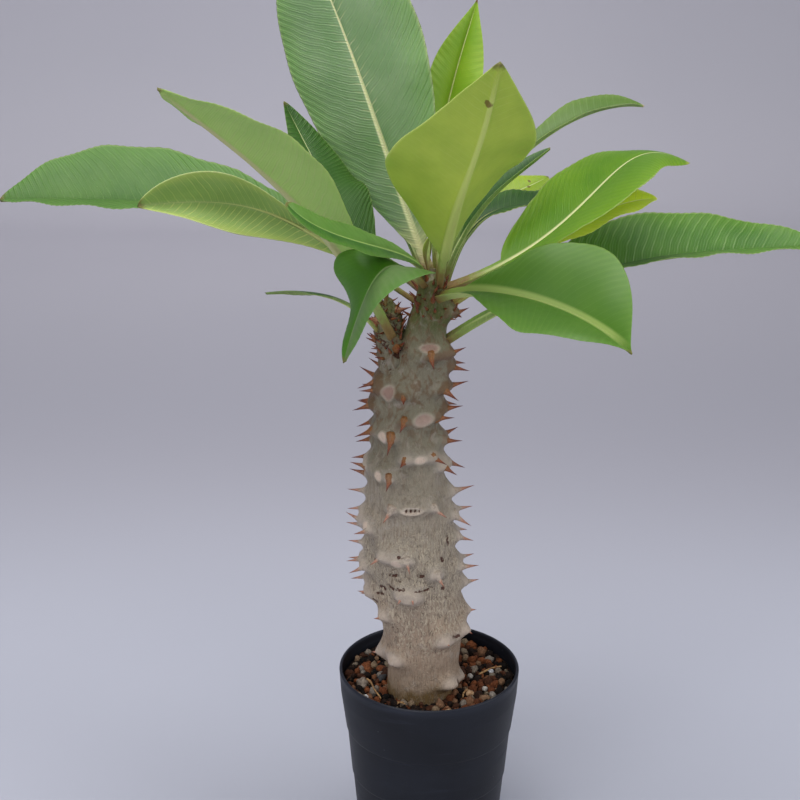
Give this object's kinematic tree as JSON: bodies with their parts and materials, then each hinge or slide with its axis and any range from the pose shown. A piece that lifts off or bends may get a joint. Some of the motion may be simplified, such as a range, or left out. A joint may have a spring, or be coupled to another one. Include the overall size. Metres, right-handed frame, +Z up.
{
  "type": "potted succulent plant",
  "caption": "Potted caudiciform succulent: a thick grey thorny stem under a crown of long green leaves, in a small round plastic pot of granular soil.",
  "frame": {"origin": "middle of the pot's flat underside, where it rests", "axes": "+Z up out of the pot, -Y towards the front of the plant, +X towards its right side seen from the front"},
  "size_m": [0.3296, 0.1611, 0.3873],
  "materials": {
    "pot_plastic": "satin",
    "soil": "rough granular",
    "bark": "matt cracked bark",
    "leaf_sheen": "satin leaf",
    "leaf_bright": "satin leaf",
    "leaf_mid": "satin leaf",
    "leaf_dark": "satin leaf",
    "leaf_olive": "matt leaf underside",
    "leaf_young": "satin leaf"
  },
  "bodies": {
    "root": {"pot": "pot_plastic", "soil": "soil", "stem": "bark", "leaf_back_large": "leaf_sheen", "leaf_upper_right": "leaf_bright", "leaf_front_up": "leaf_olive", "leaf_far_right": "leaf_mid", "leaf_back_small": "leaf_dark", "leaf_right_mid": "leaf_bright", "leaf_right_long": "leaf_dark", "leaf_front_right": "leaf_mid", "leaf_right_yellow": "leaf_young", "leaf_right_small": "leaf_dark", "leaf_right_tiny": "leaf_young", "leaf_left_long": "leaf_mid", "leaf_left_under": "leaf_olive", "leaf_left_up": "leaf_olive", "leaf_left_dark": "leaf_dark", "leaf_front_narrow": "leaf_bright", "leaf_front_droop": "leaf_mid", "leaf_left_thin": "leaf_dark", "leaf_back_hidden": "leaf_dark"}
  },
  "joints": []
}
